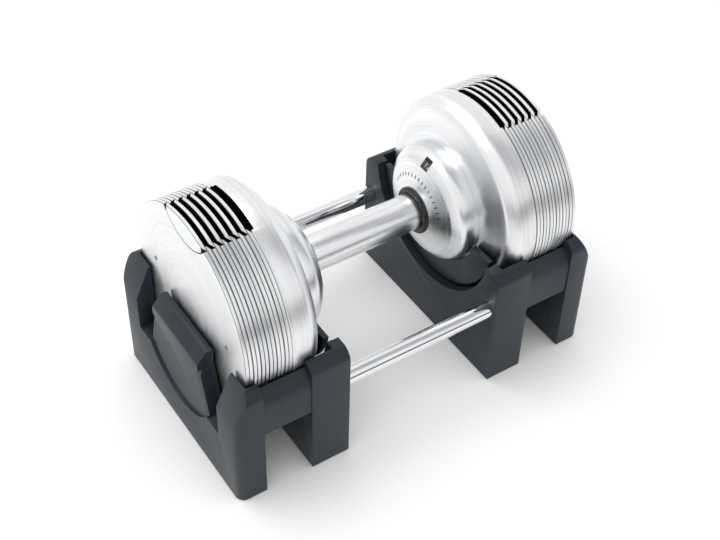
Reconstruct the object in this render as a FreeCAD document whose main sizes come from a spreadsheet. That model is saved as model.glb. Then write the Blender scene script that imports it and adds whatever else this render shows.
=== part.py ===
"""Adjustable dumbbell with laminated plates, resting in its two-cradle stand.

Frame: X runs along the grip, +X towards the right head; -Y is the front; +Z is up.
The origin is on the ground, midway between the two cradles. Lengths are millimetres.

Turning the grip turns a drive sleeve with two opposite-hand helical slots. They push
a selector rod out of each head, through the bores of as many plates as are wanted.
"""

import FreeCAD, Part
import math
import os
import Sketcher

V = FreeCAD.Vector
SIDES = {"right": 1, "left": -1}
PLATES_PER_HEAD = 6
FLIP = FreeCAD.Rotation(V(0, 0, 1), 180)
ALONG_X = FreeCAD.Rotation(V(0, 1, 0), 90)
ALONG_Y = FreeCAD.Rotation(V(1, 0, 0), -90)

# Driving dimensions. Those marked "rel" are heights above the head's own axis.
SIZES = {
    "axis_z": 133.0,
    "head_rad": 87.0,
    "flat_rel": 70.0,
    "plates_x": 117.2,
    "plate_pitch": 6.8,
    "plate_thick": 6.5,
    "rim_break": 0.5,
    "plate_bore": 9.9,
    "bore_floor": 1.9,
    "tab_half": 27.0,
    "tab_slope": 5.0,
    "tab_arc_rel": 107.6,
    "tab_arc_rad": 41.6,
    "tab_slit": 0.9,
    "tab_gap_x": 114.4,
    "cap_face_x": 84.0,
    "cap_end_x": 117.0,
    "shoulder_x": 99.0,
    "cap_round": 7.0,
    "cavity_rad": 44.0,
    "web_x": 97.0,
    "core_end_x": 106.0,
    "hub_rad": 52.0,
    "hub_face_x": 54.5,
    "hub_wall": 4.0,
    "bush_bore": 16.05,
    "bush_rad": 18.7,
    "grip_rad": 16.0,
    "grip_bore": 14.3,
    "grip_half": 69.0,
    "collar_rad": 21.0,
    "sleeve_rad": 14.25,
    "sleeve_bore": 11.73,
    "sleeve_half": 92.0,
    "core_rad": 11.65,
    "core_bore": 9.28,
    "rod_rad": 9.2,
    "rod_in_x": 10.0,
    "rod_tip_x": 115.0,
    "travel": 40.0,
    "turn_deg": 240.0,
    "pin_x": 15.0,
    "pin_rad": 2.4,
    "slot_half": 2.7,
    "dial_rad": 46.5,
    "wheel_x": 85.5,
    "wheel_thick": 5.0,
    "wheel_rad": 24.0,
    "flange_rad": 34.0,
    "lock_x": 93.0,
    "lock_rad": 3.0,
    "lock_proud": 3.0,
    "lock_low_rel": 68.0,
    "lock_room": 18.0,
    "stand_in_x": 72.0,
    "stand_out_x": 175.0,
    "stand_half": 98.0,
    "stand_top": 120.0,
    "stand_round": 11.0,
    "corner_round": 8.0,
    "ground_gap": 1.0,
    "wall_in_x": 107.0,
    "wall_out_x": 150.0,
    "bar_low_z": 69.0,
    "bar_top_z": 113.0,
    "bar_in_y": 79.0,
    "seat_z": 62.6,
    "seat_half": 52.0,
    "seat_low_z": 40.0,
    "saddle_rad": 81.0,
    "saddle_x": 78.0,
    "neck_rad": 54.5,
    "bay_x": 82.5,
    "bay_end_x": 159.5,
    "bay_rad": 88.5,
    "notch_in_y": 38.0,
    "notch_low_y": 50.0,
    "notch_out_y": 68.0,
    "notch_z": 57.0,
    "pad_half": 38.0,
    "pad_arc_rad": 66.0,
    "pad_low_z": 89.0,
    "rail_rad": 7.5,
    "rail_half": 133.0,
    "rail_y": 87.8,
    "rail_z": 80.0,
    "foot_rad": 7.0,
}


class Dim:
    """A length that carries the expression it comes from beside its value."""

    def __init__(self, text, value):
        self.text = text
        self.value = value

    def _join(self, other, sign, value):
        text = other.text if isinstance(other, Dim) else repr(float(other))
        return Dim("(" + self.text + " " + sign + " " + text + ")", value)

    def __add__(self, other):
        return self._join(other, "+", self.value + number(other))

    def __sub__(self, other):
        return self._join(other, "-", self.value - number(other))

    def __mul__(self, other):
        return self._join(other, "*", self.value * number(other))

    def __neg__(self):
        return Dim("(0 - " + self.text + ")", -self.value)


def number(value):
    """The plain number of a Dim or of a number."""
    return value.value if isinstance(value, Dim) else float(value)


doc = FreeCAD.newDocument("adjustable_dumbbell")
sheet = doc.addObject("Spreadsheet::Sheet", "Sizes")
for row, (alias, size) in enumerate(SIZES.items(), start=1):
    sheet.set("A%d" % row, alias)
    sheet.set("B%d" % row, repr(size))
    sheet.setAlias("B%d" % row, alias)
doc.recompute()
D = {alias: Dim("Sizes." + alias, size) for alias, size in SIZES.items()}
nodes = {}


def bind(obj, prop, value):
    """Bind a property to the sheet, or set it where the value is a plain number."""
    if isinstance(value, Dim):
        obj.setExpression(prop, value.text)
    else:
        obj.setExpression(prop, repr(float(value)))


def put(obj, at, rotation=FreeCAD.Rotation()):
    """Place an object at three bound coordinates."""
    obj.Placement = FreeCAD.Placement(V(*[number(value) for value in at]), rotation)
    for axis, value in zip("xyz", at):
        bind(obj, "Placement.Base." + axis, value)
    return obj


def on_axis(obj, side=1):
    """Raise a piece from its own axis to the grip's, and turn it round for the left."""
    return put(obj, (0, 0, D["axis_z"]), FLIP if side < 0 else FreeCAD.Rotation())


def keep(name, obj):
    """Name a finished piece after its node."""
    obj.Label = name
    nodes[name] = obj
    return obj


def box(name, low, high):
    """A box between two corners."""
    obj = doc.addObject("Part::Box", name)
    for prop, start, end in zip(("Length", "Width", "Height"), low, high):
        bind(obj, prop, as_dim(end) - start)
    return put(obj, low)


def as_dim(value):
    """Any number as a Dim."""
    return value if isinstance(value, Dim) else Dim(repr(float(value)), float(value))


def rod(name, radius, start, length, rotation=FreeCAD.Rotation()):
    """A cylinder from a start point, along Z or along the rotated Z."""
    obj = doc.addObject("Part::Cylinder", name)
    bind(obj, "Radius", radius)
    bind(obj, "Height", length)
    return put(obj, start, rotation)


def fuse(name, shapes):
    """The union of several solids."""
    obj = doc.addObject("Part::MultiFuse", name)
    obj.Shapes = shapes
    obj.Refine = True
    return obj


def cut(name, base, tools):
    """A base with one or several tools taken from it."""
    obj = doc.addObject("Part::Cut", name)
    obj.Base = base
    obj.Tool = tools[0] if len(tools) == 1 else fuse(name + "_tools", tools)
    obj.Refine = True
    return obj


def common(name, base, tool):
    """What two solids share."""
    obj = doc.addObject("Part::Common", name)
    obj.Base = base
    obj.Tool = tool
    return obj


def group(name, solids):
    """Several separate solids as one piece."""
    obj = doc.addObject("Part::Compound", name)
    obj.Links = solids
    return obj


def closed_outline(sketch, points):
    """A closed outline of straight runs, each corner held by two bound distances."""
    count = len(points)
    flat = [V(number(x), number(y), 0) for x, y in points]
    for i in range(count):
        sketch.addGeometry(Part.LineSegment(flat[i], flat[(i + 1) % count]), False)
    for i in range(count):
        sketch.addConstraint(Sketcher.Constraint("Coincident", i, 2, (i + 1) % count, 1))
    for i, corner in enumerate(points):
        for kind, value in zip(("DistanceX", "DistanceY"), corner):
            fixed = Sketcher.Constraint(kind, -1, 1, i, 1, number(value))
            index = sketch.addConstraint(fixed)
            if isinstance(value, Dim):
                sketch.setExpression("Constraints[%d]" % index, value.text)


def sketch_on(body, plane, points):
    """A sketch with one closed outline on one of the body's own origin planes."""
    sketch = body.newObject("Sketcher::SketchObject", body.Name + "_outline")
    origin = [part for part in body.Origin.OriginFeatures if part.Role == plane][0]
    sketch.AttachmentSupport = [(origin, "")]
    sketch.MapMode = "FlatFace"
    closed_outline(sketch, points)
    return sketch


def turned(name, points):
    """A body turned about X from an outline of (x, radius) corners."""
    body = doc.addObject("PartDesign::Body", name)
    sketch = sketch_on(body, "XY_Plane", points)
    turn = body.newObject("PartDesign::Revolution", name + "_turn")
    turn.Profile = sketch
    turn.ReferenceAxis = (sketch, ["H_Axis"])
    turn.Angle = 360
    doc.recompute()
    return body


def ring(name, outer, inner, start, end):
    """A plain ring about X."""
    return turned(name, [(start, inner), (start, outer), (end, outer), (end, inner)])


def padded(name, plane, points, length):
    """A body made by padding one outline."""
    body = doc.addObject("PartDesign::Body", name)
    pad = body.newObject("PartDesign::Pad", name + "_pad")
    pad.Profile = sketch_on(body, plane, points)
    bind(pad, "Length", length)
    doc.recompute()
    return body


def rounded(body, radius, chosen):
    """Round the edges of a body that a test picks out."""
    base = body.Tip
    edges = base.Shape.Edges
    names = ["Edge%d" % (i + 1) for i, edge in enumerate(edges) if chosen(edge)]
    if not names:
        raise RuntimeError("no edge to round on " + body.Label)
    fillet = body.newObject("PartDesign::Fillet", body.Name + "_round")
    fillet.Base = (base, names)
    bind(fillet, "Radius", radius)
    doc.recompute()
    return body


def circle_at(x, radius):
    """A test for the circular edge at a place along X with a given radius."""

    def chosen(edge):
        middle = edge.BoundBox.Center.x
        width = edge.BoundBox.YLength / 2
        return abs(middle - number(x)) < 0.01 and abs(width - number(radius)) < 0.01

    return chosen


def prism(name, points, low, high):
    """An upright prism on an outline in the ground plane, between two heights."""
    return put(padded(name, "XY_Plane", points, as_dim(high) - low), (0, 0, low))


# ---------------------------------------------------------------- weight plates


def tab_zone(name, start, end):
    """The round-bottomed pocket at a plate's top, between two places along X."""
    length = as_dim(end) - start
    return rod(name, D["tab_arc_rad"], (start, 0, D["tab_arc_rel"]), length, ALONG_X)


def plate_disc(name, start, outermost):
    """A disc with broken rims, a groove between its two sheets, and its bore.

    The outermost plate's bore stops short of its face.
    """
    thick = D["plate_thick"]
    middle = start + thick * 0.5
    lip = D["rim_break"]
    rim = D["head_rad"]
    outline = [
        (start, D["plate_bore"]),
        (start, rim - lip),
        (start + lip, rim),
        (middle - lip, rim),
        (middle, rim - lip),
        (middle + lip, rim),
        (start + thick - lip, rim),
        (start + thick, rim - lip),
    ]
    if outermost:
        floor = start + thick - D["bore_floor"]
        outline += [(start + thick, 0), (floor, 0), (floor, D["plate_bore"])]
    else:
        outline.append((start + thick, D["plate_bore"]))
    return turned(name, outline)


def make_plate(side_name, index):
    """One plate: its inner sheet is joggled outward at the top, as a tab."""
    name = "plate_%s_%d" % (side_name, index + 1)
    start = D["plates_x"] + D["plate_pitch"] * index
    middle = start + D["plate_thick"] * 0.5
    end = start + D["plate_thick"]
    inner = D["tab_half"]
    outer = inner + D["tab_slope"]
    low = D["tab_arc_rel"] - D["tab_arc_rad"] - 1
    high = D["head_rad"] + 2
    behind = [(start, -outer), (middle, -inner), (middle, inner), (start, outer)]
    tools = [prism(name + "_behind", behind, low, high)]
    for sign, mark in ((-1, "front"), (1, "rear")):
        beside = [(middle, outer * sign), (end, outer * sign), (end, inner * sign)]
        tools.append(prism(name + "_" + mark, beside, low, high))
    voids = common(name + "_voids", fuse(name + "_prisms", tools), tab_zone(name + "_zone", start, end))
    core_rad = D["tab_arc_rad"] - D["tab_slit"]
    core = rod(name + "_core", core_rad, (start, 0, D["tab_arc_rel"]), 20, ALONG_X)
    slit_ring = cut(name + "_ring", tab_zone(name + "_edge", middle, end), [core])
    span = box(name + "_span", (middle, -outer, low), (end, outer, high))
    slit = common(name + "_slit", slit_ring, span)
    foot = box(name + "_foot", (start - 1, -100, -100), (end + 1, 100, -D["flat_rel"]))
    disc = plate_disc(name + "_disc", start, index == PLATES_PER_HEAD - 1)
    plate = cut(name, disc, [voids, slit, foot])
    keep(name, on_axis(plate, SIDES[side_name]))


def make_face_rivets(side_name):
    """Two rivet heads that stand on the outermost plate, either side of its bore."""
    face = D["plates_x"] + D["plate_pitch"] * (PLATES_PER_HEAD - 1) + D["plate_thick"]
    heads = []
    for sign, mark in ((-1, "front"), (1, "rear")):
        label = "face_rivets_%s_%s" % (side_name, mark)
        heads.append(rod(label, 2.2, (face, 58 * sign, 4), 0.8, ALONG_X))
    rivets = group("face_rivets_" + side_name, heads)
    keep("face_rivets_" + side_name, on_axis(rivets, SIDES[side_name]))


# ------------------------------------------------------------------ head housings


def make_cap(side_name):
    """The head's metal housing: rounded shoulder, cavity, and web that guides the rod."""
    name = "head_cap_" + side_name
    face = D["cap_face_x"]
    rim = D["head_rad"]
    end = D["cap_end_x"]
    outline = [
        (face, D["cavity_rad"]),
        (face, D["hub_rad"] + 3),
        (face + 3.5, D["hub_rad"] + 18),
        (face + 7, rim - 6),
        (D["shoulder_x"], rim),
        (end - 0.8, rim),
        (end, rim - 0.8),
        (end, D["core_bore"]),
        (D["core_end_x"], D["core_bore"]),
        (D["core_end_x"], D["core_rad"] + 0.05),
        (D["web_x"], D["core_rad"] + 0.05),
        (D["web_x"], D["cavity_rad"]),
    ]
    shell = turned(name + "_shell", outline)
    rounded(shell, D["cap_round"], circle_at(face + 7, rim - 6))
    rounded(shell, D["cap_round"], circle_at(D["shoulder_x"], rim))
    outer = D["tab_half"] + D["tab_slope"] * 0.5
    span = box(name + "_span", (D["tab_gap_x"], -outer, 60), (end + 1, outer, 90))
    gap = common(name + "_gap", tab_zone(name + "_zone", D["tab_gap_x"], end + 1), span)
    foot = box(name + "_foot", (70, -100, -100), (end + 1, 100, -D["flat_rel"]))
    lock_bore = rod(name + "_lock", D["lock_rad"] + 0.08, (D["lock_x"], 0, -80), 40)
    spring_low = (D["lock_x"], 0, -D["lock_low_rel"])
    spring_bore = rod(name + "_spring", 5.0, spring_low, D["lock_room"])
    tools = [gap, foot, lock_bore, spring_bore]
    for i, (y, z) in enumerate(flange_screw_places()):
        tools.append(rod("%s_tap_%d" % (name, i), 2.1, (D["web_x"] - 1, y, z), 13, ALONG_X))
    cap = cut(name, shell, tools)
    keep(name, on_axis(cap, SIDES[side_name]))


def hub_outline():
    """The domed hub's outline: a shell with a boss for the bush."""
    face = D["hub_face_x"]
    rim = D["hub_rad"]
    seat = D["cap_face_x"]
    wall = D["hub_wall"]
    return [
        (seat, rim),
        (face + 15.5, rim),
        (face + 7.5, rim - 9.5),
        (face + 2, rim - 23),
        (face, D["collar_rad"] + 0.5),
        (face, D["bush_rad"]),
        (face + 13.5, D["bush_rad"]),
        (face + 13.5, D["bush_rad"] + 4.3),
        (face + 5.5, D["bush_rad"] + 4.3),
        (face + 5.5, rim - 23),
        (face + 10.3, rim - 11.1),
        (face + 16.4, rim - wall),
        (seat, rim - wall),
    ]


def make_hub(side_name):
    """The domed hub, with a window over the weight dial, and the window's clear lens."""
    name = "hub_" + side_name
    side = SIDES[side_name]
    shell = turned(name + "_shell", hub_outline())
    rounded(shell, 9, circle_at(D["hub_face_x"] + 15.5, D["hub_rad"]))
    rounded(shell, 9, circle_at(D["hub_face_x"] + 7.5, D["hub_rad"] - 9.5))
    low_x = D["hub_face_x"] + 7
    window = box(name + "_window", (low_x, -4.5, 30), (low_x + 6.5, 4.5, 60))
    pane = box(name + "_pane", (low_x + 0.1, -4.4, 30), (low_x + 6.4, 4.4, 60))
    keep("window_lens_" + side_name, on_axis(common("window_lens_" + side_name, shell, pane), side))
    keep(name, on_axis(cut(name, shell, [window]), side))


def make_bearing(side_name):
    """The bush that the grip turns in, and the black collar in front of it."""
    side = SIDES[side_name]
    face = D["hub_face_x"]
    bush = ring("grip_bush_" + side_name, D["bush_rad"], D["bush_bore"], face, face + 13.5)
    keep("grip_bush_" + side_name, on_axis(bush, side))
    inner = D["grip_rad"] + 0.3
    lip = D["collar_rad"]
    outline = [(face - 2.5, inner), (face - 2.5, lip - 1), (face - 1.5, lip), (face, lip), (face, inner)]
    keep("collar_" + side_name, on_axis(turned("collar_" + side_name, outline), side))


def flange_screw_places():
    """Where the four flange screws sit, around the axis."""
    reach = 29.5
    return [(reach * math.cos(turn), reach * math.sin(turn)) for turn in (0.6, 2.54, 3.74, 5.68)]


def make_flange(side_name):
    """The flange that ties the core tube to the housing, and its screws."""
    name = "core_flange_" + side_name
    side = SIDES[side_name]
    start = D["sleeve_half"] + 0.5
    disc = ring(name + "_disc", D["flange_rad"], D["core_rad"] + 0.02, start, D["web_x"])
    bores = []
    screws = []
    for i, (y, z) in enumerate(flange_screw_places()):
        bores.append(rod("%s_bore_%d" % (name, i), 2.2, (start - 1, y, z), 8, ALONG_X))
        shank = rod("%s_shank_%d" % (name, i), 2.05, (start, y, z), 15, ALONG_X)
        head = rod("%s_head_%d" % (name, i), 4, (start - 3, y, z), 3, ALONG_X)
        screws.append(fuse("%s_screw_%d" % (name, i), [shank, head]))
    keep(name, on_axis(cut(name, disc, bores), side))
    keep("flange_screws_" + side_name, on_axis(group("flange_screws_" + side_name, screws), side))


# ---------------------------------------------------------------- grip and drive


def make_grip():
    """The grip tube."""
    half = D["grip_half"]
    rim = D["grip_rad"]
    outline = [(-half, D["grip_bore"]), (-half, rim), (half, rim), (half, D["grip_bore"])]
    keep("grip_tube", on_axis(turned("grip_tube", outline)))


def helical_slot():
    """The space that a follower pin sweeps in the drive sleeve, on the right side."""
    sweep = math.radians(sheet.turn_deg)
    rise = sheet.travel / sweep
    radius = (sheet.sleeve_rad + sheet.sleeve_bore) / 2
    half = sheet.slot_half
    extra = (half + 0.3) / math.hypot(radius, rise)
    path = Part.makeHelix(rise * 2 * math.pi, rise * (sweep + 2 * extra), radius, 0, True)
    across = V(0, -radius, rise).normalize().cross(V(1, 0, 0))
    corners = []
    for reach, turn in ((-3, -1), (3, -1), (3, 1), (-3, 1)):
        corners.append(V(radius + reach, 0, 0) + across * (half * turn))
    section = Part.makePolygon(corners + corners[:1])
    slot = Part.Wire(path).makePipeShell([section], True, True)
    slot.rotate(V(0, 0, 0), V(0, 0, 1), 180 + math.degrees(extra))
    slot.rotate(V(0, 0, 0), V(0, 1, 0), 90)
    slot.translate(V(sheet.pin_x - rise * extra, 0, 0))
    return slot


def make_drive_sleeve():
    """The sleeve inside the grip, with a helical slot of either hand."""
    half = sheet.sleeve_half
    along = V(1, 0, 0)
    shape = Part.makeCylinder(sheet.sleeve_rad, half * 2, V(-half, 0, 0), along)
    shape = shape.cut(Part.makeCylinder(sheet.sleeve_bore, half * 2, V(-half, 0, 0), along))
    slot = helical_slot()
    shape = shape.cut(slot).cut(slot.mirror(V(0, 0, 0), along))
    sleeve = doc.addObject("Part::Feature", "drive_sleeve")
    sleeve.Shape = shape.removeSplitter()
    keep("drive_sleeve", on_axis(sleeve))


def make_dial(side_name):
    """The numbered weight dial, a cupped disc on the drive sleeve."""
    web = D["hub_face_x"] + 23.5
    rim = D["dial_rad"]
    bore = D["sleeve_rad"] + 0.03
    outline = [
        (web, bore),
        (web, rim),
        (web - 6, rim),
        (web - 11.8, rim - 5.9),
        (web - 15, rim - 13.3),
        (web - 13.6, rim - 13.9),
        (web - 10.6, rim - 6.9),
        (web - 5.4, rim - 1.5),
        (web - 3, rim - 1.5),
        (web - 3, bore),
    ]
    name = "weight_dial_" + side_name
    keep(name, on_axis(turned(name, outline), SIDES[side_name]))


def make_index_wheel(side_name):
    """The notched wheel that the detent clicks along, one notch to a plate."""
    name = "index_wheel_" + side_name
    start = D["wheel_x"]
    end = start + D["wheel_thick"]
    blank = ring(name + "_blank", D["wheel_rad"], D["sleeve_rad"] + 0.03, start, end)
    notches = []
    for i in range(PLATES_PER_HEAD + 1):
        turn = math.pi / 2 - math.radians(SIZES["turn_deg"]) / PLATES_PER_HEAD * i
        reach = D["wheel_rad"] + 1.2
        place = (start - 1, reach * math.cos(turn), reach * math.sin(turn))
        notches.append(rod("%s_notch_%d" % (name, i), 2.6, place, 8, ALONG_X))
    keep(name, on_axis(cut(name, blank, notches), SIDES[side_name]))


def make_core_tube():
    """The fixed tube that joins the heads, with a straight guide slot at each end."""
    half = D["core_end_x"]
    tube = ring("core_blank", D["core_rad"], D["core_bore"], -half, half)
    width = D["slot_half"]
    near = D["pin_x"] - width
    far = D["pin_x"] + D["travel"] + width
    slots = [
        box("guide_right", (near, -width, 5), (far, width, 15)),
        box("guide_left", (-far, -width, 5), (-near, width, 15)),
    ]
    keep("core_tube", on_axis(cut("core_tube", tube, slots)))


def make_selector(side_name):
    """The selector rod that carries the plates, and its follower pin."""
    side = SIDES[side_name]
    name = "selector_rod_" + side_name
    tip = D["rod_tip_x"]
    rim = D["rod_rad"]
    outline = [(D["rod_in_x"], 0), (D["rod_in_x"], rim), (tip - 1.5, rim), (tip, rim - 1.5), (tip, 0)]
    bore = rod(name + "_bore", D["pin_rad"] + 0.02, (D["pin_x"], 0, 5), 10)
    keep(name, on_axis(cut(name, turned(name + "_bar", outline), [bore]), side))
    place = (D["pin_x"] * side, 0, D["axis_z"] + 5)
    keep("follower_pin_" + side_name, rod("follower_pin_" + side_name, D["pin_rad"], place, 9))


# ------------------------------------------------------------- detent and lock


def coil(radius, wire, length, turns):
    """A coil spring along Z from the origin."""
    path = Part.makeHelix(length / turns, length, radius)
    section = Part.Wire(Part.makeCircle(wire, V(radius, 0, 0), V(0, 1, 0)))
    return Part.Wire(path).makePipeShell([section], True, True)


def baked(name, shape, x, z):
    """A free shape standing at a place on the head's own middle plane."""
    shape.translate(V(number(x), 0, z))
    feature = doc.addObject("Part::Feature", name)
    feature.Shape = Part.Compound([shape])
    return feature


def make_detent(side_name):
    """The spring-loaded plunger above the index wheel, in its block."""
    side = SIDES[side_name]
    axis_x = D["wheel_x"] + D["wheel_thick"] * 0.5
    low_x = D["wheel_x"] - 0.5
    high_x = D["sleeve_half"] + 0.5
    tip = D["wheel_rad"] + 0.4
    name = "detent_block_" + side_name
    body = box(name + "_body", (low_x, -6, 27), (high_x, 6, 42.5))
    bore = rod(name + "_bore", 2.58, (axis_x, 0, 26), 14.5)
    keep(name, on_axis(cut(name, body, [bore]), side))
    pin = rod("plunger_" + side_name, 2.5, (axis_x, 0, tip), 10)
    keep("detent_plunger_" + side_name, on_axis(group("detent_plunger_" + side_name, [pin]), side))
    spring = baked("detent_spring_" + side_name, coil(1.7, 0.35, 4.6, 4), axis_x, 35.2)
    keep("detent_spring_" + side_name, on_axis(spring, side))


def make_lock(side_name):
    """The collared pin under the head that the stand can press, with its spring."""
    side = SIDES[side_name]
    low = -(D["flat_rel"] + D["lock_proud"])
    name = "lock_pin_" + side_name
    shank = rod(name + "_shank", D["lock_rad"], (D["lock_x"], 0, low), 34.5)
    collar = rod(name + "_collar", 4.7, (D["lock_x"], 0, -D["lock_low_rel"] + 0.1), 2)
    keep(name, on_axis(fuse(name, [shank, collar]), side))
    spring = baked("lock_spring_" + side_name, coil(3.85, 0.5, 14, 6), D["lock_x"], -65.2)
    keep("lock_spring_" + side_name, on_axis(spring, side))


# ------------------------------------------------------------------------ stand


def stand_block(name):
    """The cradle's outer block, rounded along its top and at its outer corners."""
    half = D["stand_half"]
    low = D["stand_in_x"]
    high = D["stand_out_x"]
    outline = [(low, -half), (high, -half), (high, half), (low, half)]
    body = padded(name, "XY_Plane", outline, D["stand_top"] - D["ground_gap"])

    def upright(edge):
        bounds = edge.BoundBox
        return bounds.ZLength > 50 and bounds.XMin > number(high) - 1

    rounded(body, D["corner_round"], upright)

    def along_top(edge):
        bounds = edge.BoundBox
        on_top = bounds.ZMin > number(D["stand_top"] - D["ground_gap"]) - 1
        return on_top and bounds.XLength > 50 and bounds.YLength < 1

    rounded(body, D["stand_round"], along_top)
    return put(body, (0, 0, D["ground_gap"]))


def mirrored_prisms(name, outline, start, end):
    """A prism along X on an outline of (y, z) corners, and its twin on the front side."""
    solids = []
    for sign, mark in ((1, "rear"), (-1, "front")):
        corners = [(as_dim(y) * sign, z) for y, z in outline]
        solid = padded(name + "_" + mark, "YZ_Plane", corners, as_dim(end) - start)
        solids.append(put(solid, (start, 0, 0)))
    return solids


def saddle_groove(name):
    """The deep arc-shaped gap between the inner wall and the web around the hub."""
    start = (D["saddle_x"] - 1, 0, D["axis_z"])
    length = 18.6
    bar = rod(name + "_bar", D["saddle_rad"] - 0.5, start, length, ALONG_X)
    core = rod(name + "_core", D["saddle_rad"] - 4.2, start, length, ALONG_X)
    return cut(name, bar, [core])


def bar_corners(name):
    """What is taken off the side bars, front and rear, to round their outer tops."""
    face = D["stand_half"] - 1.2
    top = D["bar_top_z"]
    low = D["bar_low_z"] - 1
    outline = [
        (face, low),
        (face, top - 18),
        (face - 1.4, top - 11),
        (face - 5.3, top - 5.3),
        (face - 11, top - 1.4),
        (face - 18, top),
        (70, top),
        (70, D["stand_top"] + 1),
        (D["stand_half"] + 1, D["stand_top"] + 1),
        (D["stand_half"] + 1, low),
    ]
    return mirrored_prisms(name, outline, D["wall_in_x"], D["wall_out_x"])


def end_notches(name):
    """The open notches between the pedestal, which widens downwards, and the end posts."""
    top = D["stand_top"] + 1
    outline = [
        (D["notch_in_y"], top),
        (D["notch_in_y"], 100),
        (D["notch_low_y"], D["notch_z"]),
        (D["notch_out_y"], D["notch_z"]),
        (D["notch_out_y"], top),
    ]
    return mirrored_prisms(name, outline, 140, 180)


def cradle_tools(name):
    """Everything that is hollowed out of the block."""
    axis = D["axis_z"]
    top = D["stand_top"] + 1
    wall_in = D["wall_in_x"]
    wall_out = D["wall_out_x"]
    seat = D["seat_z"]
    above = box(name + "_above", (60, -99, seat), (170, 99, 240))
    bay_depth = D["bay_end_x"] - D["bay_x"]
    bay = rod(name + "_bay", D["bay_rad"], (D["bay_x"], 0, axis), bay_depth, ALONG_X)
    inner_face = (D["stand_in_x"] - 1, 0, axis)
    saddle_depth = D["saddle_x"] - D["stand_in_x"] + 1
    tools = [
        common(name + "_head_bay", bay, above),
        rod(name + "_neck", D["neck_rad"], (D["saddle_x"] - 1, 0, axis), 8, ALONG_X),
        rod(name + "_saddle", D["saddle_rad"], inner_face, saddle_depth, ALONG_X),
        box(name + "_under", (wall_in, -100, 0), (wall_out, 100, D["bar_low_z"])),
        box(name + "_middle", (wall_in, -D["bar_in_y"], 30), (wall_out, D["bar_in_y"], top)),
        rod(name + "_lock_well", 5, (D["lock_x"], 0, seat - 8), 20),
        rod(name + "_crease", 60, (D["stand_out_x"] - 2.5, 0, 93), 5, ALONG_X),
        saddle_groove(name + "_groove"),
        box(name + "_over_pedestal", (140, -D["notch_in_y"], 104), (180, D["notch_in_y"], top)),
    ]
    tools += bar_corners(name + "_corner")
    tools += end_notches(name + "_notch")
    for sign, mark in ((-1, "front"), (1, "rear")):
        rail = (D["stand_in_x"] - 1, D["rail_y"] * sign, D["rail_z"])
        depth = D["rail_half"] - D["stand_in_x"] + 2
        tools.append(rod("%s_rail_%s" % (name, mark), D["rail_rad"] + 0.05, rail, depth, ALONG_X))
        screw = (D["rail_half"] - 8, D["rail_y"] * sign, 60)
        tools.append(rod("%s_screw_%s" % (name, mark), 2.6, screw, 18))
    for i, (x, y) in enumerate(foot_places()):
        tools.append(rod("%s_foot_%d" % (name, i), D["foot_rad"] + 0.1, (x, y, 0), 3))
    slope = [(D["stand_out_x"] + 1, 88), (D["stand_out_x"] + 1, top), (D["wall_out_x"] + 11, top)]
    wedge = padded(name + "_wedge", "XZ_Plane", slope, 220)
    tools.append(put(wedge, (0, 110, 0)))
    return tools


def foot_places():
    """Where the rubber feet sit under one cradle."""
    inner = (D["stand_in_x"] + D["wall_in_x"]) * 0.5
    outer = (D["wall_out_x"] + D["stand_out_x"]) * 0.5
    reach = D["stand_half"] - 12
    return [(inner, reach), (inner, -reach), (outer, reach), (outer, -reach)]


def end_pad(name):
    """The thick-lipped pad on the pedestal; its lower edge is an arc, like a half moon."""
    low = D["bay_end_x"] + 0.2
    half = D["pad_half"]
    outline = [(low, 84), (low, 117), (low + 5, 118.5), (low + 14.5, 108), (low + 15, 85)]
    body = padded(name + "_lip", "XZ_Plane", outline, half * 2)

    def sharp(edge):
        bounds = edge.BoundBox
        return bounds.YLength > 50 and bounds.XMin > number(low) + 3.5 and bounds.ZMin > 100

    rounded(body, 4, sharp)
    put(body, (0, half, 0))
    round_low = D["pad_low_z"] + D["pad_arc_rad"]
    moon = rod(name + "_moon", D["pad_arc_rad"], (low - 1, 0, round_low), 20, ALONG_X)
    return common(name, body, moon)


def make_cradle(side_name):
    """One moulded cradle: two walls, two side bars, a seat and an end pad."""
    name = "cradle_" + side_name
    carved = cut(name + "_carved", stand_block(name + "_block"), cradle_tools(name))
    low = (D["wall_in_x"] - 1, -D["seat_half"], D["seat_low_z"])
    high = (D["wall_out_x"] + 1, D["seat_half"], D["seat_z"])
    seat = box(name + "_seat", low, high)
    cradle = fuse(name, [carved, seat, end_pad(name + "_pad")])
    keep(name, put(cradle, (0, 0, 0), FLIP if SIDES[side_name] < 0 else FreeCAD.Rotation()))


def make_rails():
    """The two polished rails between the cradles, and the screws that hold them."""
    half = D["rail_half"]
    for name, sign in (("stand_rail_front", -1), ("stand_rail_rear", 1)):
        rim = D["rail_rad"]
        end = half - 1
        outline = [(-half, 0), (-half, rim - 1), (-end, rim), (end, rim), (half, rim - 1), (half, 0)]
        rail = turned(name, outline)
        keep(name, put(rail, (0, D["rail_y"] * sign, D["rail_z"])))
    screws = []
    for side in SIDES.values():
        for sign in (-1, 1):
            label = "rail_screw_%d" % len(screws)
            place = ((half - 8) * side, D["rail_y"] * sign)
            low = D["bar_low_z"]
            shank = rod(label + "_shank", 2.5, (*place, low), D["rail_z"] - D["rail_rad"] - low)
            head = rod(label + "_head", 4.5, (*place, low - 2.5), 2.5)
            screws.append(fuse(label, [shank, head]))
    keep("rail_screws", group("rail_screws", screws))


def make_feet():
    """The rubber feet, pressed into the undersides of the cradles."""
    feet = []
    for side in SIDES.values():
        for x, y in foot_places():
            label = "stand_foot_%d" % len(feet)
            feet.append(rod(label, D["foot_rad"], (x * side, y, 0), 3))
    keep("stand_feet", group("stand_feet", feet))


# ----------------------------------------------------------------------- build


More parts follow.
